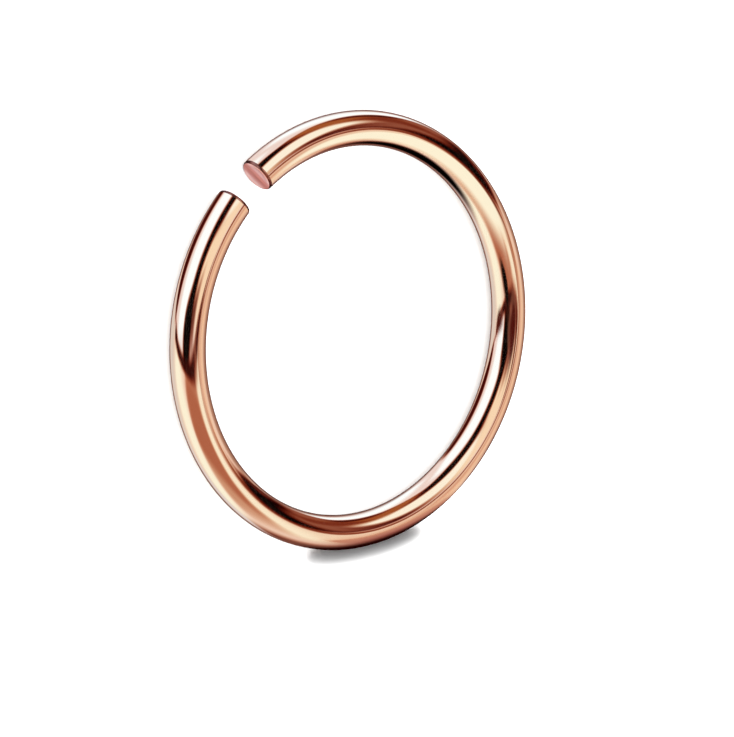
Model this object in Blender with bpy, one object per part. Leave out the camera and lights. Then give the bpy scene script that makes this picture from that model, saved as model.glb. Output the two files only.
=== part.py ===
"""A small open nose hoop in polished rose gold.

One length of round wire is bent to a plain circle. Both of its ends are cut square, with their rims just
broken, and they stand a little apart so that the hoop can be twisted open and worn.

The hoop lies on its side, as it rests by itself. The origin is at the middle of the circle, on the surface
below it. +Z is the circle's axis, and +X runs out through the middle of the gap between the two ends.
"""

import math

import bmesh
import bpy
from mathutils import Matrix

# Driving dimensions, in metres
WIRE_DIAMETER = 0.0008
HOOP_OUTSIDE_DIAMETER = 0.010
END_GAP = 0.00075
END_ROUNDING = 0.00006

# Fineness of the faceted wire
FACETS_PER_QUARTER_SECTION = 6
FACETS_ALONG_HOOP = 120
ROUNDING_STEPS = 2

# Finish of the wire
ROSE_GOLD_COLOUR = (0.90, 0.57, 0.46, 1.0)
ROSE_GOLD_ROUGHNESS = 0.1

# Edges sharper than this belong to the cut ends, and flatter ones to the round of the wire
RIM_ANGLE = math.radians(60)
SHADING_ANGLE = math.radians(40)


def clear_scene():
    for old in list(bpy.data.objects):
        bpy.data.objects.remove(old, do_unlink=True)


def rose_gold():
    """Polished rose gold, the same on the wire and on its cut ends."""
    material = bpy.data.materials.new("rose_gold")
    material.use_nodes = True
    shader = material.node_tree.nodes["Principled BSDF"]
    shader.inputs["Base Color"].default_value = ROSE_GOLD_COLOUR
    shader.inputs["Metallic"].default_value = 1.0
    shader.inputs["Roughness"].default_value = ROSE_GOLD_ROUGHNESS
    return material


def wire_section(centre_radius):
    """Corners of the wire's section, in the plane through the hoop's axis and +X.

    The section has a flat below, above, inside and outside, each a true wire radius from its middle,
    so the hoop is exactly one wire diameter high and rests on a ring of flats.
    """
    wire_radius = WIRE_DIAMETER / 2
    facets = 4 * FACETS_PER_QUARTER_SECTION
    step = math.tau / facets
    corner_radius = wire_radius / math.cos(step / 2)
    angles = [step * (number + 0.5) for number in range(facets)]
    return [
        (
            centre_radius + corner_radius * math.cos(angle),
            0.0,
            wire_radius + corner_radius * math.sin(angle),
        )
        for angle in angles
    ]


def bent_wire():
    """The section swept round the hoop from one cut end to the other, and closed by both cut faces."""
    centre_radius = (HOOP_OUTSIDE_DIAMETER - WIRE_DIAMETER) / 2
    gap_angle = 2 * math.asin(END_GAP / (2 * centre_radius))
    bm = bmesh.new()
    first_ring = [bm.verts.new(corner) for corner in wire_section(centre_radius)]
    first_edges = [
        bm.edges.new((corner, first_ring[(number + 1) % len(first_ring)]))
        for number, corner in enumerate(first_ring)
    ]
    to_first_end = Matrix.Rotation(gap_angle / 2, 3, "Z")
    bmesh.ops.rotate(bm, verts=first_ring, cent=(0, 0, 0), matrix=to_first_end)
    swept = bmesh.ops.spin(
        bm,
        geom=first_ring + first_edges,
        cent=(0, 0, 0),
        axis=(0, 0, 1),
        angle=math.tau - gap_angle,
        steps=FACETS_ALONG_HOOP,
        use_duplicate=False,
    )
    last_edges = [item for item in swept["geom_last"] if isinstance(item, bmesh.types.BMEdge)]
    for rim in (first_edges, last_edges):
        bmesh.ops.contextual_create(bm, geom=rim)
    bmesh.ops.recalc_face_normals(bm, faces=bm.faces)
    mesh = bpy.data.meshes.new("hoop")
    bm.to_mesh(mesh)
    bm.free()
    return mesh


def break_end_rims(hoop):
    """A small rounding on the rim of each cut face, as tumbling leaves it."""
    rounding = hoop.modifiers.new("end rounding", "BEVEL")
    rounding.limit_method = "ANGLE"
    rounding.angle_limit = RIM_ANGLE
    rounding.width = END_ROUNDING
    rounding.segments = ROUNDING_STEPS


def make_hoop():
    mesh = bent_wire()
    mesh.materials.append(rose_gold())
    mesh.shade_smooth()
    mesh.set_sharp_from_angle(angle=SHADING_ANGLE)
    hoop = bpy.data.objects.new("hoop", mesh)
    bpy.context.scene.collection.objects.link(hoop)
    break_end_rims(hoop)
    return hoop


clear_scene()
make_hoop()
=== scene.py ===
import math

import bmesh
import bpy
from mathutils import Matrix, Vector


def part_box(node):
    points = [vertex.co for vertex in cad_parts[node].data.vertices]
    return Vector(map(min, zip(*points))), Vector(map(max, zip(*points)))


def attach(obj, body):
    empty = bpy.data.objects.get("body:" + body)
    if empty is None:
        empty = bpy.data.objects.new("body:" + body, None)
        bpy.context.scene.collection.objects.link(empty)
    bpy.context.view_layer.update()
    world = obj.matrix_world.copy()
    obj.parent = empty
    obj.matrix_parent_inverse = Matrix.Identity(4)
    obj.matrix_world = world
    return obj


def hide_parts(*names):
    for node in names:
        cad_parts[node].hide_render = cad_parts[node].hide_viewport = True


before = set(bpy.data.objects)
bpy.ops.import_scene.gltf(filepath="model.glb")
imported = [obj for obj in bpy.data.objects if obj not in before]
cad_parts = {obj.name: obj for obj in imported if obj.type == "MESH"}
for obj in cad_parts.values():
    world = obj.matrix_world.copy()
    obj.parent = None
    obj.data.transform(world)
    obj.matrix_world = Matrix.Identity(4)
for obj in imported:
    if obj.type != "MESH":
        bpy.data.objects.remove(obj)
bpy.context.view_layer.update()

# The hoop: one length of round wire, drawn, bent to a plain circle round a mandrel and polished to a mirror.
# Its ends are sheared off square with a cutter, which leaves a shallow ridge across each cut. Tumbling just
# breaks the rims. A thin dark line of painted shade runs round each end and a little way onto the wire. It
# lies loose on its side, and nothing is fixed to it.

MM = 0.001
END_GAP = 0.75 * MM
END_ROUNDING = 0.06 * MM
# How far the painted shade round each end runs on along the wire
PAINTED_SHADE_BAND = 0.015 * MM
CUT_RIDGE = 0.022 * MM
RIDGE_TURN = math.radians(-29)

SIDES_AROUND_WIRE = 80
STATIONS_ALONG_HOOP = 560
RINGS_ON_CUT = 10
ROUNDING_STEPS = 8
SHEARED_STEPS = 3

# The place of each part's finish among the mesh's materials
# The edge, the outer part of each rounded end and a narrow band beyond it, takes the painted shade
FINISHES = {"cut": 1, "rim": 1, "edge": 2, "wire": 0}

hoop_low, hoop_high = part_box("hoop")
WIRE_RADIUS = (hoop_high[2] - hoop_low[2]) / 2
CENTRE_RADIUS = -hoop_low[0] - WIRE_RADIUS
HALF_GAP_ANGLE = math.asin(END_GAP / 2 / CENTRE_RADIUS)


def hoop_rings():
    """Where each ring of points round the wire lies: (angle round the hoop, radius, part of the wire)."""
    inset = END_ROUNDING / CENTRE_RADIUS
    cut_radius = WIRE_RADIUS - END_ROUNDING
    cut = [(HALF_GAP_ANGLE, cut_radius * ring / RINGS_ON_CUT, "cut") for ring in range(1, RINGS_ON_CUT)]
    rim = []
    for step in range(ROUNDING_STEPS):
        turn = math.pi / 2 * step / ROUNDING_STEPS
        angle = HALF_GAP_ANGLE + inset * (1 - math.cos(turn))
        part = "rim" if step < SHEARED_STEPS else "edge"
        rim.append((angle, cut_radius + END_ROUNDING * math.sin(turn), part))
    rim.append((HALF_GAP_ANGLE + inset, WIRE_RADIUS, "edge"))
    first = HALF_GAP_ANGLE + inset + PAINTED_SHADE_BAND / CENTRE_RADIUS
    last = math.tau - first
    wire = []
    for station in range(STATIONS_ALONG_HOOP + 1):
        angle = first + (last - first) * station / STATIONS_ALONG_HOOP
        wire.append((angle, WIRE_RADIUS, "wire"))
    opening = cut + rim
    closing = [(math.tau - angle, radius, part) for angle, radius, part in reversed(opening)]
    return opening + wire + closing


def on_wire(angle, radius, turn):
    """A point at that angle round the hoop, and at that radius and turn round the middle of the wire."""
    reach = CENTRE_RADIUS + radius * math.cos(turn)
    return Vector((reach * math.cos(angle), reach * math.sin(angle), WIRE_RADIUS + radius * math.sin(turn)))


def cut_ridge(radius, turn):
    """How deep the sheared face falls away on either side of the ridge that the cutter leaves."""
    cut_radius = WIRE_RADIUS - END_ROUNDING
    aside = abs(radius * math.sin(turn - RIDGE_TURN)) / cut_radius
    inside = 1 - (radius / cut_radius) ** 4
    return CUT_RIDGE * aside * inside


def finish_between(part, next_part):
    """The finish of the band between two rings: the one that is nearer to the cut face."""
    for name in ("cut", "rim", "edge"):
        if name in (part, next_part):
            return FINISHES[name]
    return FINISHES["wire"]


def make_hoop_mesh():
    bm = bmesh.new()
    rings = []
    for angle, radius, part in hoop_rings():
        ring = []
        for side in range(SIDES_AROUND_WIRE):
            turn = math.tau * side / SIDES_AROUND_WIRE
            point = on_wire(angle, radius, turn)
            if part == "cut":
                inward = 1 if angle < math.pi else -1
                along = Vector((-math.sin(angle), math.cos(angle), 0)) * inward
                point += along * cut_ridge(radius, turn)
            ring.append(bm.verts.new(point))
        rings.append((ring, part))
    for (ring, part), (following, next_part) in zip(rings, rings[1:]):
        for side in range(SIDES_AROUND_WIRE):
            after = (side + 1) % SIDES_AROUND_WIRE
            face = bm.faces.new((ring[side], following[side], following[after], ring[after]))
            face.smooth = True
            face.material_index = finish_between(part, next_part)
    for ring, angle in ((rings[0][0], HALF_GAP_ANGLE), (rings[-1][0], -HALF_GAP_ANGLE)):
        middle = bm.verts.new(on_wire(angle, 0, 0))
        for side in range(SIDES_AROUND_WIRE):
            after = (side + 1) % SIDES_AROUND_WIRE
            face = bm.faces.new((middle, ring[side], ring[after]))
            face.smooth = True
            face.material_index = FINISHES["cut"]
    bmesh.ops.recalc_face_normals(bm, faces=bm.faces)
    mesh = bpy.data.meshes.new("hoop_wire")
    bm.to_mesh(mesh)
    bm.free()
    return mesh


def link(tree, source, target):
    tree.links.new(source, target)


def set_or_link(tree, value, socket):
    if isinstance(value, bpy.types.NodeSocket):
        link(tree, value, socket)
    else:
        socket.default_value = value


def math_node(tree, operation, first, second=0.0):
    node = tree.nodes.new("ShaderNodeMath")
    node.operation = operation
    set_or_link(tree, first, node.inputs[0])
    set_or_link(tree, second, node.inputs[1])
    return node.outputs[0]


def vector_node(tree, operation, first, second=(0, 0, 0), output="Vector"):
    node = tree.nodes.new("ShaderNodeVectorMath")
    node.operation = operation
    set_or_link(tree, first, node.inputs[0])
    set_or_link(tree, second, node.inputs[1])
    return node.outputs[output]


def combine(tree, *parts):
    node = tree.nodes.new("ShaderNodeCombineXYZ")
    for part, socket in zip(parts, node.inputs):
        set_or_link(tree, part, socket)
    return node.outputs["Vector"]


def noise(tree, place, fineness, detail):
    """Cloudy noise from nought to one, with its own fineness in each of the three directions."""
    node = tree.nodes.new("ShaderNodeTexNoise")
    link(tree, vector_node(tree, "MULTIPLY", place, fineness), node.inputs["Vector"])
    node.inputs["Scale"].default_value = 1.0
    node.inputs["Detail"].default_value = detail
    return node.outputs["Fac"]


def between(tree, value, low, high, low_result, high_result):
    """The low result at the low value, the high one at the high value, and a straight run between."""
    node = tree.nodes.new("ShaderNodeMapRange")
    link(tree, value, node.inputs["Value"])
    node.inputs["From Min"].default_value = low
    node.inputs["From Max"].default_value = high
    node.inputs["To Min"].default_value = low_result
    node.inputs["To Max"].default_value = high_result
    return node.outputs["Result"]


def along_and_round_wire():
    """Places on the wire, as a node group: millimetres along it, then wire radii outward and upward.

    The radii count from the middle of the wire. The millimetres count from the point opposite the gap, and
    they jump in the gap, where there is no wire.
    """
    tree = bpy.data.node_groups.new("along_and_round_wire", "ShaderNodeTree")
    tree.interface.new_socket("Place", in_out="OUTPUT", socket_type="NodeSocketVector")
    spot = tree.nodes.new("ShaderNodeTexCoord").outputs["Object"]
    split = tree.nodes.new("ShaderNodeSeparateXYZ")
    link(tree, spot, split.inputs[0])
    x, y, z = split.outputs
    backwards = math_node(tree, "MULTIPLY", y, -1.0)
    inwards = math_node(tree, "MULTIPLY", x, -1.0)
    angle = math_node(tree, "ARCTAN2", backwards, inwards)
    along = math_node(tree, "MULTIPLY", angle, CENTRE_RADIUS / MM)
    flat = vector_node(tree, "LENGTH", combine(tree, x, y, 0.0), output="Value")
    out = math_node(tree, "SUBTRACT", flat, CENTRE_RADIUS)
    high = math_node(tree, "SUBTRACT", z, WIRE_RADIUS)
    place = combine(
        tree,
        along,
        math_node(tree, "DIVIDE", out, WIRE_RADIUS),
        math_node(tree, "DIVIDE", high, WIRE_RADIUS),
    )
    link(tree, place, tree.nodes.new("NodeGroupOutput").inputs["Place"])
    return tree


wire_places = along_and_round_wire()


def place_on_wire(tree):
    node = tree.nodes.new("ShaderNodeGroup")
    node.node_tree = wire_places
    return node.outputs["Place"]


def bump(tree, height, distance):
    node = tree.nodes.new("ShaderNodeBump")
    node.inputs["Distance"].default_value = distance
    link(tree, height, node.inputs["Height"])
    return node.outputs["Normal"]


ROSE_GOLD = (0.93, 0.60, 0.45)

# The traces of the work, and the patches in the painted shade round the ends. The first four say how fine
# each is along the wire, outward and upward. The last, for the lines of the shear, says how fine they are
# across the ridge of the cut and along it.
DRAWN_LINES = (0.35, 7.0, 7.0)
SLOW_WAVES = (0.9, 1.2, 1.2)
BUFFING_MARKS = (1.6, 5.0, 5.0)
PAINTED_SHADE_PATCHES = (3.0, 2.2, 2.2)
SHEAR_LINES = (9.0, 1.0, 1.0)

WAVE_DEPTH = 0.0025 * MM
DRAWN_LINE_SHARE = 0.25
SHEAR_LINE_DEPTH = 0.008 * MM

BUFFED_ROUGHNESS = (0.045, 0.085)
SHEARED_ROUGHNESS = (0.34, 0.46)
SHADED_RIM_ROUGHNESS = 0.25


def new_metal(name):
    material = bpy.data.materials.new(name)
    material.use_nodes = True
    shader = material.node_tree.nodes["Principled BSDF"]
    shader.inputs["Metallic"].default_value = 1.0
    return material, material.node_tree, shader


def polished_rose_gold():
    """The mirror of the wire. The die left faint lines along it, and the buff took most of them off."""
    material, tree, shader = new_metal("polished_rose_gold")
    place = place_on_wire(tree)
    lines = noise(tree, place, DRAWN_LINES, 2.0)
    waves = noise(tree, place, SLOW_WAVES, 1.0)
    height = math_node(tree, "ADD", math_node(tree, "MULTIPLY", lines, DRAWN_LINE_SHARE), waves)
    link(tree, bump(tree, height, WAVE_DEPTH), shader.inputs["Normal"])
    buffing = noise(tree, place, BUFFING_MARKS, 3.0)
    link(tree, between(tree, buffing, 0.35, 0.75, *BUFFED_ROUGHNESS), shader.inputs["Roughness"])
    shader.inputs["Base Color"].default_value = (*ROSE_GOLD, 1)
    return material


# The colours of the cut face: its own pink, with painted highlight in a pale band on either side of the
# ridge and painted shade in the deep band along it. The bands give how far across the ridge each colour
# lies, from the lower side.
LOWER_SIDE_SHEAR = (0.86, 0.34, 0.30, 1)
UPPER_SIDE_SHEAR = (0.84, 0.33, 0.28, 1)
SHEAR_PAINTED_HIGHLIGHT = (1.0, 0.52, 0.46, 1)
PINK_SHEAR = (0.80, 0.27, 0.22, 1)
SHEAR_PAINTED_SHADE = (0.68, 0.19, 0.145, 1)
SHEAR_TONES_AND_PAINTED_LIGHT = (
    (0.16, SHEAR_PAINTED_HIGHLIGHT),
    (0.33, PINK_SHEAR),
    (0.5, SHEAR_PAINTED_SHADE),
    (0.66, PINK_SHEAR),
    (0.8, SHEAR_PAINTED_HIGHLIGHT),
)


def across_and_along_cut(tree):
    """How far a point of the cut lies across the ridge and along it, in wire radii."""
    split = tree.nodes.new("ShaderNodeSeparateXYZ")
    link(tree, place_on_wire(tree), split.inputs[0])
    out = split.outputs["Y"]
    high = split.outputs["Z"]
    sine = math.sin(RIDGE_TURN)
    cosine = math.cos(RIDGE_TURN)
    out_part = math_node(tree, "MULTIPLY", out, -sine)
    across_ridge = math_node(tree, "ADD", out_part, math_node(tree, "MULTIPLY", high, cosine))
    out_part = math_node(tree, "MULTIPLY", out, cosine)
    along_ridge = math_node(tree, "ADD", out_part, math_node(tree, "MULTIPLY", high, sine))
    return across_ridge, along_ridge


def sheared_rose_gold():
    """The cut face: matt and pinker, with the fine lines that the blade dragged across it, and painted
    highlight and shade in bands across its ridge.
    """
    material, tree, shader = new_metal("sheared_rose_gold")
    across_ridge, along_ridge = across_and_along_cut(tree)
    lines = noise(tree, combine(tree, across_ridge, along_ridge, 0.0), SHEAR_LINES, 4.0)
    tone = tree.nodes.new("ShaderNodeValToRGB")
    link(tree, between(tree, across_ridge, -0.9, 0.9, 0.0, 1.0), tone.inputs["Fac"])
    ramp = tone.color_ramp
    ramp.elements[0].color = LOWER_SIDE_SHEAR
    ramp.elements[1].color = UPPER_SIDE_SHEAR
    for position, colour in SHEAR_TONES_AND_PAINTED_LIGHT:
        ramp.elements.new(position).color = colour
    worn = tree.nodes.new("ShaderNodeMix")
    worn.data_type = "RGBA"
    worn.blend_type = "MULTIPLY"
    worn.inputs["Factor"].default_value = 1.0
    link(tree, tone.outputs["Color"], worn.inputs[6])
    shade = between(tree, lines, 0.3, 0.7, 0.86, 1.08)
    link(tree, combine(tree, shade, shade, shade), worn.inputs[7])
    link(tree, worn.outputs[2], shader.inputs["Base Color"])
    link(tree, between(tree, lines, 0.3, 0.7, *SHEARED_ROUGHNESS), shader.inputs["Roughness"])
    link(tree, bump(tree, lines, SHEAR_LINE_DEPTH), shader.inputs["Normal"])
    return material


# The two tones of the painted shade round the ends: a warm dark one and a deeper one
RIM_PAINTED_SHADE_LIGHT = (0.40, 0.14, 0.10, 1)
RIM_PAINTED_SHADE_DEEP = (0.10, 0.015, 0.012, 1)


def rose_gold_with_painted_rim_shade():
    """Painted shade: a thin dark line round the end, darkest at the two sides where the ridge meets it, in
    patches.
    """
    material, tree, shader = new_metal("rose_gold_with_painted_rim_shade")
    across_ridge, along_ridge = across_and_along_cut(tree)
    patches = noise(tree, place_on_wire(tree), PAINTED_SHADE_PATCHES, 2.0)
    from_ridge_middle = math_node(tree, "ABSOLUTE", along_ridge)
    shade_depth = math_node(tree, "ADD", from_ridge_middle, patches)
    tone = tree.nodes.new("ShaderNodeMix")
    tone.data_type = "RGBA"
    link(tree, between(tree, shade_depth, 0.85, 1.3, 0.0, 1.0), tone.inputs["Factor"])
    tone.inputs[6].default_value = RIM_PAINTED_SHADE_LIGHT
    tone.inputs[7].default_value = RIM_PAINTED_SHADE_DEEP
    link(tree, tone.outputs[2], shader.inputs["Base Color"])
    shader.inputs["Roughness"].default_value = SHADED_RIM_ROUGHNESS
    return material


hoop_mesh = make_hoop_mesh()
hoop_mesh.materials.append(polished_rose_gold())
hoop_mesh.materials.append(sheared_rose_gold())
hoop_mesh.materials.append(rose_gold_with_painted_rim_shade())
hoop = bpy.data.objects.new("hoop_wire", hoop_mesh)
bpy.context.scene.collection.objects.link(hoop)
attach(hoop, "root")
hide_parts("hoop")

# The far side of the hoop would show in the near one as a mere row of dots, so it isn't mirrored there.
hoop.visible_glossy = False

# The table top: a plain white matt sheet, laid flat, that the hoop lies on. It is no part of the hoop.
# The wire mirrors the floor of the tent in its place, which is laid out below with the light.

TABLE_SIZE = 0.6
TABLE_WHITE = (0.9, 0.9, 0.9, 1)
TABLE_ROUGHNESS = 0.9

bpy.ops.mesh.primitive_plane_add(size=TABLE_SIZE, location=(0, 0, 0))
table_top = bpy.context.object
table_top.name = "table_top"
white = bpy.data.materials.new("table_white")
white.use_nodes = True
white_shader = white.node_tree.nodes["Principled BSDF"]
white_shader.inputs["Base Color"].default_value = TABLE_WHITE
white_shader.inputs["Roughness"].default_value = TABLE_ROUGHNESS
table_top.data.materials.append(white)
table_top.visible_glossy = False

# The camera: a long macro lens on a stand, looking down on the hoop from beyond its gap. It is turned on
# its side, so that the hoop's near side is on the left of the picture.

AIM = Vector((-0.72, 0.43, 0.70)) * MM
CAMERA_DISTANCE = 81.4 * MM
CAMERA_AZIMUTH = math.radians(33.6)
CAMERA_HEIGHT_ANGLE = math.radians(50.55)
CAMERA_ROLL = math.radians(102.05)
LENS = 176.2
SENSOR_WIDTH = 36

camera_data = bpy.data.cameras.new("camera")
camera_data.lens = LENS
camera_data.sensor_width = SENSOR_WIDTH
camera_data.clip_start = 1 * MM
camera_data.clip_end = 2.0
camera = bpy.data.objects.new("camera", camera_data)
bpy.context.scene.collection.objects.link(camera)
flat = math.cos(CAMERA_HEIGHT_ANGLE)
back = Vector((
    flat * math.cos(CAMERA_AZIMUTH),
    flat * math.sin(CAMERA_AZIMUTH),
    math.sin(CAMERA_HEIGHT_ANGLE),
))
level = back.to_track_quat("Z", "Y").to_matrix()
turned = level @ Matrix.Rotation(CAMERA_ROLL, 3, "Z")
camera.matrix_world = Matrix.Translation(AIM + back * CAMERA_DISTANCE) @ turned.to_4x4()
bpy.context.scene.camera = camera

# The light: a small white tent with the lens looking in, which the polished wire mirrors. It is laid out on
# a plan seen from the hoop. The way back to the lens is the middle, and each other direction lies as many
# degrees from there as it is turned away from the lens. Across and up are the picture's own.

TENT_TILT = math.radians(25)
TENT_BRIGHTNESS = 2.4
HORIZON_SOFTNESS = 2.5
HORIZON_LINES_END = (60, 75)
SCREEN_GAMMA = 2.2

across_axis = camera.matrix_world.to_3x3() @ Vector((1, 0, 0))
up_axis = camera.matrix_world.to_3x3() @ Vector((0, 1, 0))
lens_axis = camera.matrix_world.to_3x3() @ Vector((0, 0, 1))
tent_up_axis = up_axis * math.cos(TENT_TILT) + lens_axis * math.sin(TENT_TILT)

# Each tone is the one that the picture shows where the facing wire mirrors the panel.
WHITE = (1.0, 1.0, 0.98)
WARM_WHITE = (0.99, 0.93, 0.83)
CREAM = (0.99, 0.94, 0.82)
BLUSH = (0.93, 0.82, 0.77)
GOLD = (0.98, 0.90, 0.77)
PEACH = (0.94, 0.75, 0.60)
APRICOT = (0.97, 0.83, 0.68)
SALMON = (0.82, 0.56, 0.44)
TAN = (0.79, 0.56, 0.43)
CLAY = (0.68, 0.38, 0.27)
TERRACOTTA = (0.56, 0.30, 0.22)
RUST = (0.62, 0.32, 0.17)
RUSSET = (0.52, 0.24, 0.15)
CHESTNUT = (0.46, 0.18, 0.11)
OXBLOOD = (0.36, 0.13, 0.09)
BROWN = (0.67, 0.46, 0.36)
UMBER = (0.42, 0.22, 0.17)
MAUVE = (0.66, 0.54, 0.51)
MAROON = (0.27, 0.07, 0.05)
GARNET = (0.20, 0.04, 0.03)
BLACK = (0.03, 0.0, 0.0)
GREY = (0.80, 0.78, 0.77)
STONE = (0.87, 0.78, 0.71)
BEIGE = (0.87, 0.79, 0.74)
DUSK = (0.48, 0.32, 0.27)

# The panels are laid over each other with red, green and blue raised to these powers, so that the soft edge
# of a dark panel on a light one runs through red and brown, as it does in rose gold.
EDGE_WARMTH = (2.0, 1.0, 0.8)


def smooth_step(tree, value, low, high):
    """One below the low value, none above the high one, and a soft run between."""
    node = tree.nodes.new("ShaderNodeMapRange")
    node.interpolation_type = "SMOOTHSTEP"
    link(tree, value, node.inputs["Value"])
    set_or_link(tree, low, node.inputs["From Min"])
    set_or_link(tree, high, node.inputs["From Max"])
    node.inputs["To Min"].default_value = 1.0
    node.inputs["To Max"].default_value = 0.0
    return node.outputs["Result"]


def soft_patch_group():
    """A soft-edged rounded panel on the plan, laid over what is behind it."""
    tree = bpy.data.node_groups.new("soft_patch", "ShaderNodeTree")
    interface = tree.interface
    interface.new_socket("Behind", in_out="INPUT", socket_type="NodeSocketColor")
    interface.new_socket("Place", in_out="INPUT", socket_type="NodeSocketVector")
    interface.new_socket("Where", in_out="INPUT", socket_type="NodeSocketFloat")
    interface.new_socket("Middle", in_out="INPUT", socket_type="NodeSocketVector")
    interface.new_socket("Core", in_out="INPUT", socket_type="NodeSocketVector")
    interface.new_socket("Turn", in_out="INPUT", socket_type="NodeSocketFloat")
    interface.new_socket("Inner Edge", in_out="INPUT", socket_type="NodeSocketFloat")
    interface.new_socket("Outer Edge", in_out="INPUT", socket_type="NodeSocketFloat")
    interface.new_socket("Tone", in_out="INPUT", socket_type="NodeSocketColor")
    interface.new_socket("Colour", in_out="OUTPUT", socket_type="NodeSocketColor")
    given = tree.nodes.new("NodeGroupInput").outputs
    result = tree.nodes.new("NodeGroupOutput").inputs
    offset = vector_node(tree, "SUBTRACT", given["Place"], given["Middle"])
    rotate = tree.nodes.new("ShaderNodeVectorRotate")
    rotate.rotation_type = "Z_AXIS"
    link(tree, offset, rotate.inputs["Vector"])
    link(tree, given["Turn"], rotate.inputs["Angle"])
    aside = vector_node(tree, "ABSOLUTE", rotate.outputs["Vector"])
    beyond_core = vector_node(tree, "SUBTRACT", aside, given["Core"])
    beyond_core = vector_node(tree, "MAXIMUM", beyond_core, (0, 0, 0))
    distance = vector_node(tree, "LENGTH", beyond_core, output="Value")
    cover = smooth_step(tree, distance, given["Inner Edge"], given["Outer Edge"])
    cover = math_node(tree, "MULTIPLY", cover, given["Where"])
    mix = tree.nodes.new("ShaderNodeMix")
    mix.data_type = "RGBA"
    link(tree, cover, mix.inputs["Factor"])
    link(tree, given["Behind"], mix.inputs[6])
    link(tree, given["Tone"], mix.inputs[7])
    link(tree, mix.outputs[2], result["Colour"])
    return tree


world = bpy.data.worlds.new("studio")
bpy.context.scene.world = world
world.use_nodes = True
tent = world.node_tree
plain_light = tent.nodes["Background"]
plain_light.inputs["Color"].default_value = (1, 1, 1, 1)
plain_light.inputs["Strength"].default_value = TENT_BRIGHTNESS

direction = tent.nodes.new("ShaderNodeTexCoord").outputs["Generated"]
direction = vector_node(tent, "NORMALIZE", direction)
across = vector_node(tent, "DOT_PRODUCT", direction, across_axis, output="Value")
up = vector_node(tent, "DOT_PRODUCT", direction, up_axis, output="Value")
to_lens = vector_node(tent, "DOT_PRODUCT", direction, lens_axis, output="Value")
turned_away = math_node(tent, "DEGREES", math_node(tent, "ARCCOSINE", to_lens))
heading = vector_node(tent, "NORMALIZE", combine(tent, across, up, 0.0))
spread = tent.nodes.new("ShaderNodeVectorMath")
spread.operation = "SCALE"
link(tent, heading, spread.inputs[0])
link(tent, turned_away, spread.inputs["Scale"])
place = spread.outputs[0]
upward = vector_node(tent, "DOT_PRODUCT", direction, tent_up_axis, output="Value")
height = math_node(tent, "DEGREES", math_node(tent, "ARCSINE", upward))
below = smooth_step(tent, height, -HORIZON_SOFTNESS, HORIZON_SOFTNESS)
above = math_node(tent, "SUBTRACT", 1.0, below)
anywhere = 1.0

# Two other ways to lay out a panel: by its height over the horizon, and by its turn away from the lens.
separate = tent.nodes.new("ShaderNodeSeparateXYZ")
link(tent, place, separate.inputs[0])
along_horizon = combine(tent, separate.outputs["X"], height, 0.0)
near_floor = smooth_step(tent, separate.outputs["Y"], *HORIZON_LINES_END)
from_lens = combine(tent, turned_away, 0.0, 0.0)

patch_group = soft_patch_group()


def laid(tone):
    """A tone raised to the powers that the panels are laid over each other with."""
    return (*[part ** power for part, power in zip(tone, EDGE_WARMTH)], 1)


def soft_patch(behind, name, where, middle, half, turn, corner, softness, tone, place=place):
    """Lays one panel over what is behind it, and gives what is then seen."""
    node = tent.nodes.new("ShaderNodeGroup")
    node.node_tree = patch_group
    node.label = name
    corner = min(corner, *half)
    set_or_link(tent, behind, node.inputs["Behind"])
    link(tent, place, node.inputs["Place"])
    set_or_link(tent, where, node.inputs["Where"])
    node.inputs["Middle"].default_value = (*middle, 0)
    node.inputs["Core"].default_value = (half[0] - corner, half[1] - corner, 1)
    node.inputs["Turn"].default_value = math.radians(-turn)
    node.inputs["Inner Edge"].default_value = corner - softness
    node.inputs["Outer Edge"].default_value = corner + softness
    node.inputs["Tone"].default_value = laid(tone)
    return node.outputs["Colour"]


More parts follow.
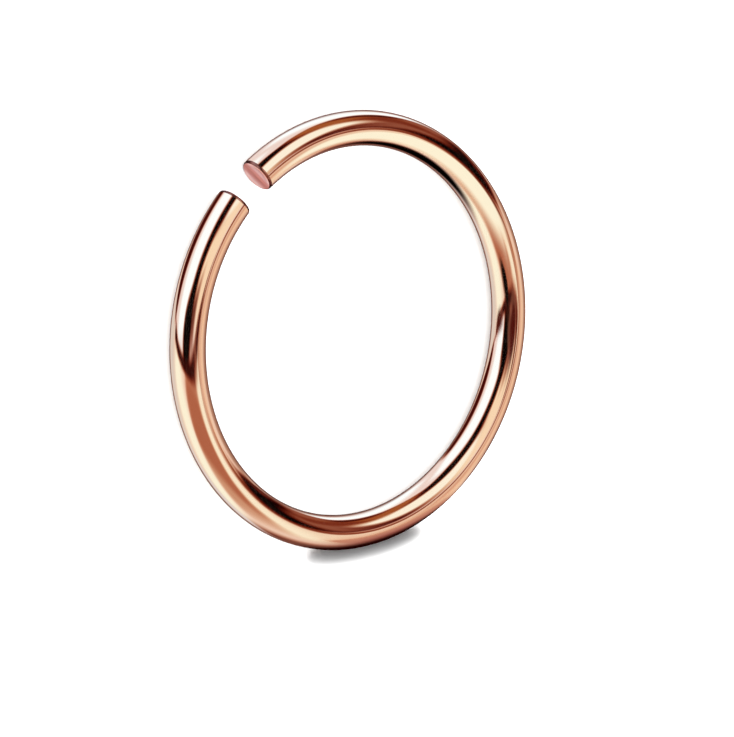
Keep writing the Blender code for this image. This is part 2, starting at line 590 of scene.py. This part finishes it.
# The panels of the tent, from the farthest back to the nearest: name, where it shows, its middle on the
# plan, its half width and half height, its turn, the radius of its corners, the softness of its edge and its
# tone.
PANELS = (
    ("floor", below, (0, -60), (220, 190), 0, 0, 3, PEACH),
    ("floor left", below, (-54, -60), (24, 56), 25, 22, 14, CREAM),
    ("floor far left", below, (-124, -40), (30, 66), 0, 28, 16, STONE),
    ("floor behind left", below, (-78, -118), (60, 26), -30, 20, 14, BEIGE),
    ("floor right", below, (62, -50), (22, 38), 4, 20, 14, GOLD),
    ("floor far right", below, (88, -56), (17, 46), -16, 17, 10, SALMON),
    ("floor right edge", below, (100, -38), (9, 34), 0, 9, 9, PEACH),
    ("floor behind right", below, (36, -132), (70, 24), 10, 20, 14, UMBER),
    ("stand in the floor", below, (12, -58), (32, 28), 20, 18, 14, TAN),
    ("camera in the floor", below, (13, -43), (38, 20), 0, 16, 9, CLAY),
    ("left wall", above, (-114, 52), (26, 54), -10, 16, 14, MAUVE),
    ("left wall far", anywhere, (-150, 20), (16, 60), 0, 14, 12, STONE),
    ("right wall", anywhere, (144, -14), (27, 70), 0, 14, 12, BROWN),
    ("right wall high", above, (130, 64), (20, 42), 22, 14, 10, UMBER),
    ("back top", above, (20, 112), (64, 15), -8, 12, 10, WHITE),
    ("back far", above, (-20, 146), (90, 16), 8, 14, 10, GREY),
    ("left panel", above, (-38, 38), (25, 50), -8, 14, 8, WHITE),
    ("left gap", above, (-99, 50), (19, 52), -17, 12, 7, MAROON),
    ("arch", above, (62, 47), (52, 48), 0, 38, 6, MAROON),
    ("arch wall", above, (87, 52), (14, 48), 0, 12, 8, TERRACOTTA),
    ("arch top", above, (50, 70), (34, 11), -18, 10, 7, RUST),
    ("arch corner", above, (78, 60), (20, 11), -32, 10, 8, CHESTNUT),
    ("zenith", above, (15, 56), (12, 10), -30, 9, 6, BLACK),
    ("window", above, (46, 32), (22, 26), -24, 16, 7, WARM_WHITE),
    ("front", above, (38, 0), (28, 13), -10, 10, 6, APRICOT),
    ("post", above, (4, 28), (13, 36), -13, 11, 7, BLACK),
    ("camera arm", above, (18, -10), (16, 8), 4, 8, 7, UMBER),
    ("camera", above, (-7, -10), (22, 17), 12, 14, 6, BLACK),
)
view = laid(BLUSH)
for name, where, middle, half, turn, corner, softness, tone in PANELS:
    view = soft_patch(view, name, where, middle, half, turn, corner, softness, tone)

# The dark lines where the tent's floor ends, laid along the horizon: name, its middle, its half length and
# half height, the softness of its edge and its tone.
HORIZON_LINES = (
    ("horizon front", (81, -1), (11, 4.2), 3, RUSSET),
    ("horizon middle", (50, 0.6), (16, 2.8), 2, OXBLOOD),
    ("horizon left", (-24, 0.8), (64, 3.0), 2, GARNET),
    ("horizon far right", (112, 2), (22, 2), 2, MAROON),
    ("horizon right", (94, 6.5), (14, 7), 5, BLACK),
)
for name, middle, half, edge, tone in HORIZON_LINES:
    view = soft_patch(view, name, near_floor, middle, half, 0, edge, edge, tone, along_horizon)

view = soft_patch(view, "behind the hoop", anywhere, (180, 0), (39, 11), 0, 11, 11, DUSK, from_lens)

layers = tent.nodes.new("ShaderNodeSeparateXYZ")
link(tent, view, layers.inputs[0])
seen = [
    math_node(tent, "POWER", layer, SCREEN_GAMMA / power)
    for layer, power in zip(layers.outputs, EDGE_WARMTH)
]
mirrored = vector_node(tent, "DIVIDE", combine(tent, *seen), ROSE_GOLD)
tent_light = tent.nodes.new("ShaderNodeBackground")
link(tent, mirrored, tent_light.inputs["Color"])
mirror_or_plain = tent.nodes.new("ShaderNodeMixShader")
rays = tent.nodes.new("ShaderNodeLightPath")
link(tent, rays.outputs["Is Glossy Ray"], mirror_or_plain.inputs["Fac"])
link(tent, plain_light.outputs["Background"], mirror_or_plain.inputs[1])
link(tent, tent_light.outputs["Background"], mirror_or_plain.inputs[2])
link(tent, mirror_or_plain.outputs["Shader"], tent.nodes["World Output"].inputs["Surface"])
bpy.context.scene.view_settings.view_transform = "Standard"

# The soft cards close to the hoop, which only the mirror of the wire sees: the shade under its lowest part,
# the dark foot and edges of the camera's stand, and plain sheets beside it. Some are clear from behind. One
# that is seen from near fades out between NEAR and FAR, and one that is seen from far fades in there.

SHADE_CLEARANCE = 0.1 * MM
SHADE_SPACING = 0.02 * MM
NEAR = 2.0 * MM
FAR = 4.0 * MM
FRINGE_END = 0.9

hoop_middle = Vector((0, 0, WIRE_RADIUS))


def in_picture(across_part, up_part, lens_part):
    """A way or a step given by the picture's own axes: across, up and to the lens."""
    return across_axis * across_part + up_axis * up_part + lens_axis * lens_part


def as_light(tone):
    """The light that the facing wire mirrors as that tone."""
    return (*[part ** SCREEN_GAMMA / mirror for part, mirror in zip(tone, ROSE_GOLD)], 1)


def soft_oval_group():
    """An oval on a card, as a node group, that fades from its tone through its fringe to nothing."""
    tree = bpy.data.node_groups.new("soft_oval", "ShaderNodeTree")
    interface = tree.interface
    interface.new_socket("Middle", in_out="INPUT", socket_type="NodeSocketVector")
    interface.new_socket("Half Size", in_out="INPUT", socket_type="NodeSocketVector")
    interface.new_socket("Core", in_out="INPUT", socket_type="NodeSocketFloat")
    interface.new_socket("Tone", in_out="INPUT", socket_type="NodeSocketColor")
    interface.new_socket("Fringe", in_out="INPUT", socket_type="NodeSocketColor")
    interface.new_socket("Cover", in_out="OUTPUT", socket_type="NodeSocketFloat")
    interface.new_socket("Colour", in_out="OUTPUT", socket_type="NodeSocketColor")
    given = tree.nodes.new("NodeGroupInput").outputs
    result = tree.nodes.new("NodeGroupOutput").inputs
    spot = tree.nodes.new("ShaderNodeTexCoord").outputs["Object"]
    spot = vector_node(tree, "SUBTRACT", spot, given["Middle"])
    spot = vector_node(tree, "DIVIDE", spot, given["Half Size"])
    from_middle = vector_node(tree, "LENGTH", spot, output="Value")
    link(tree, smooth_step(tree, from_middle, given["Core"], 1.0), result["Cover"])
    mix = tree.nodes.new("ShaderNodeMix")
    mix.data_type = "RGBA"
    link(tree, smooth_step(tree, from_middle, given["Core"], FRINGE_END), mix.inputs["Factor"])
    link(tree, given["Fringe"], mix.inputs[6])
    link(tree, given["Tone"], mix.inputs[7])
    link(tree, mix.outputs[2], result["Colour"])
    return tree


soft_oval = soft_oval_group()


def card_material(name, offset, half_size, core, tone, fringe, one_sided, seen_from):
    material = bpy.data.materials.new(name)
    material.use_nodes = True
    tree = material.node_tree
    tree.nodes.remove(tree.nodes["Principled BSDF"])
    oval = tree.nodes.new("ShaderNodeGroup")
    oval.node_tree = soft_oval
    oval.inputs["Middle"].default_value = (*offset, 0)
    oval.inputs["Half Size"].default_value = (*half_size, 1)
    oval.inputs["Core"].default_value = core
    oval.inputs["Tone"].default_value = as_light(tone)
    oval.inputs["Fringe"].default_value = as_light(fringe)
    cover = oval.outputs["Cover"]
    if one_sided:
        back = tree.nodes.new("ShaderNodeNewGeometry").outputs["Backfacing"]
        cover = math_node(tree, "MULTIPLY", cover, math_node(tree, "SUBTRACT", 1.0, back))
    if seen_from != "anywhere":
        distance = tree.nodes.new("ShaderNodeLightPath").outputs["Ray Length"]
        seen = smooth_step(tree, distance, NEAR, FAR)
        if seen_from == "far":
            seen = math_node(tree, "SUBTRACT", 1.0, seen)
        cover = math_node(tree, "MULTIPLY", cover, seen)
    clear = tree.nodes.new("ShaderNodeBsdfTransparent")
    glow = tree.nodes.new("ShaderNodeEmission")
    link(tree, oval.outputs["Colour"], glow.inputs["Color"])
    blend = tree.nodes.new("ShaderNodeMixShader")
    link(tree, cover, blend.inputs["Fac"])
    link(tree, clear.outputs[0], blend.inputs[1])
    link(tree, glow.outputs[0], blend.inputs[2])
    link(tree, blend.outputs[0], tree.nodes["Material Output"].inputs["Surface"])
    return material


def soft_card(
    name,
    middle,
    along,
    facing,
    offset,
    half_size,
    core,
    tone,
    fringe,
    one_sided=False,
    seen_from="anywhere",
):
    """A clear card at that middle, with a soft oval on it that lies the offset away from its middle."""
    reach = max(half_size) + max(abs(part) for part in offset)
    bpy.ops.mesh.primitive_plane_add(size=2 * reach)
    card = bpy.context.object
    card.name = name
    across_card = facing.cross(along).normalized()
    turned = Matrix((across_card.cross(facing).normalized(), across_card, facing.normalized())).transposed()
    card.matrix_world = Matrix.Translation(middle) @ turned.to_4x4()
    card.visible_camera = False
    card.visible_diffuse = False
    card.visible_shadow = False
    card.visible_transmission = False
    card.data.materials.append(
        card_material(name, offset, half_size, core, tone, fringe, one_sided, seen_from)
    )


to_lowest = -Vector((tent_up_axis.x, tent_up_axis.y, 0)).normalized()
lowest = hoop_middle + to_lowest * CENTRE_RADIUS - tent_up_axis * (WIRE_RADIUS + SHADE_CLEARANCE)
along_hoop = Vector((to_lowest.y, -to_lowest.x, 0))
if along_hoop.dot(across_axis) < 0:
    along_hoop = -along_hoop
soft_card(
    "shade_card",
    middle=lowest,
    along=along_hoop,
    facing=tent_up_axis,
    offset=(3.4 * MM, 2.7 * MM),
    half_size=(4.8 * MM, 5.2 * MM),
    core=0.45,
    tone=BLACK,
    fringe=(0.46, 0.20, 0.14),
    seen_from="far",
)
soft_card(
    "warm_shade_card",
    middle=lowest + tent_up_axis * SHADE_SPACING,
    along=along_hoop,
    facing=tent_up_axis,
    offset=(0.2 * MM, -0.3 * MM),
    half_size=(3.6 * MM, 1.4 * MM),
    core=0.15,
    tone=(0.62, 0.36, 0.31),
    fringe=(0.86, 0.62, 0.50),
    seen_from="near",
)
soft_card(
    "contact_shade_card",
    middle=lowest + tent_up_axis * 2 * SHADE_SPACING,
    along=along_hoop,
    facing=tent_up_axis,
    offset=(0, 0.12 * MM),
    half_size=(3.3 * MM, 0.88 * MM),
    core=0.5,
    tone=(0.14, 0.03, 0.02),
    fringe=(0.46, 0.20, 0.15),
    seen_from="near",
)

right_side = hoop_middle + in_picture(3.4, 0.5, -2.6) * MM
foot_distance = 8 * MM
soft_card(
    "foot_card",
    middle=right_side + in_picture(-0.12, -0.45, 0.88) * foot_distance,
    along=across_axis,
    facing=in_picture(0.6, 0.1, -0.8),
    offset=(0, 0),
    half_size=(3.4 * MM, 1.6 * MM),
    core=0.4,
    tone=BLACK,
    fringe=(0.34, 0.14, 0.10),
    one_sided=True,
)
soft_card(
    "upper_edge_card",
    middle=hoop_middle + in_picture(12.8, -3.9, 9.9) * MM,
    along=in_picture(1, -0.08, 0),
    facing=in_picture(0.05, 0.25, -0.97),
    offset=(-0.8 * MM, -0.25 * MM),
    half_size=(10.5 * MM, 1.7 * MM),
    core=0.42,
    tone=(0.30, 0.09, 0.07),
    fringe=(0.68, 0.40, 0.31),
    one_sided=True,
)
soft_card(
    "lower_edge_card",
    middle=hoop_middle + in_picture(-0.6, -0.5, 0.25) * MM,
    along=across_axis,
    facing=in_picture(0.82, 0.1, -0.55),
    offset=(-1.0 * MM, 0.2 * MM),
    half_size=(3.4 * MM, 0.4 * MM),
    core=0.3,
    tone=(0.30, 0.11, 0.09),
    fringe=(0.62, 0.34, 0.28),
    one_sided=True,
)
soft_card(
    "low_sheet",
    middle=hoop_middle + in_picture(4.5, -6.5, -1.4) * MM,
    along=up_axis,
    facing=in_picture(-0.9, -0.43, 0),
    offset=(-4.0 * MM, 2.0 * MM),
    half_size=(7.4 * MM, 4.6 * MM),
    core=0.7,
    tone=(0.76, 0.48, 0.37),
    fringe=PEACH,
    one_sided=True,
)
soft_card(
    "bright_sheet",
    middle=hoop_middle + in_picture(4.0, -3.4, 1.0) * MM,
    along=in_picture(1, 0, 0.27),
    facing=in_picture(0.35, 1, 0),
    offset=(14.3 * MM, 0.7 * MM),
    half_size=(16.0 * MM, 8.5 * MM),
    core=0.4,
    tone=CREAM,
    fringe=PEACH,
    one_sided=True,
)
soft_card(
    "top_sheet",
    middle=hoop_middle + in_picture(5.0, 1.9, 0.3) * MM,
    along=across_axis,
    facing=in_picture(-0.2, 1, 0),
    offset=(0.3 * MM, 0),
    half_size=(4.2 * MM, 2.4 * MM),
    core=0.5,
    tone=CREAM,
    fringe=APRICOT,
    one_sided=True,
)

# The flag: a small black oval just above the table top, beside the part of the hoop that is nearest to the
# foot of the picture. It keeps the tent's light from the sheet there, and neither the lens nor the mirror of
# the wire sees it.

FLAG_PLACE = Vector((-4.27, 2.85, 0.18)) * MM
FLAG_HALF_LENGTH = 1.75 * MM
FLAG_HALF_WIDTH = 0.34 * MM
FLAG_TURN = math.radians(52)
FLAG_SIDES = 64
FLAG_BLACK = (0.01, 0.01, 0.01, 1)

bpy.ops.mesh.primitive_circle_add(vertices=FLAG_SIDES, radius=1, fill_type="NGON")
flag = bpy.context.object
flag.name = "floor_flag"
flag.location = FLAG_PLACE
flag.scale = (FLAG_HALF_LENGTH, FLAG_HALF_WIDTH, 1)
flag.rotation_euler = (0, 0, FLAG_TURN)
flag.visible_camera = False
flag.visible_glossy = False
black = bpy.data.materials.new("flag_black")
black.use_nodes = True
black_shader = black.node_tree.nodes["Principled BSDF"]
black_shader.inputs["Base Color"].default_value = FLAG_BLACK
black_shader.inputs["Roughness"].default_value = 1.0
flag.data.materials.append(black)
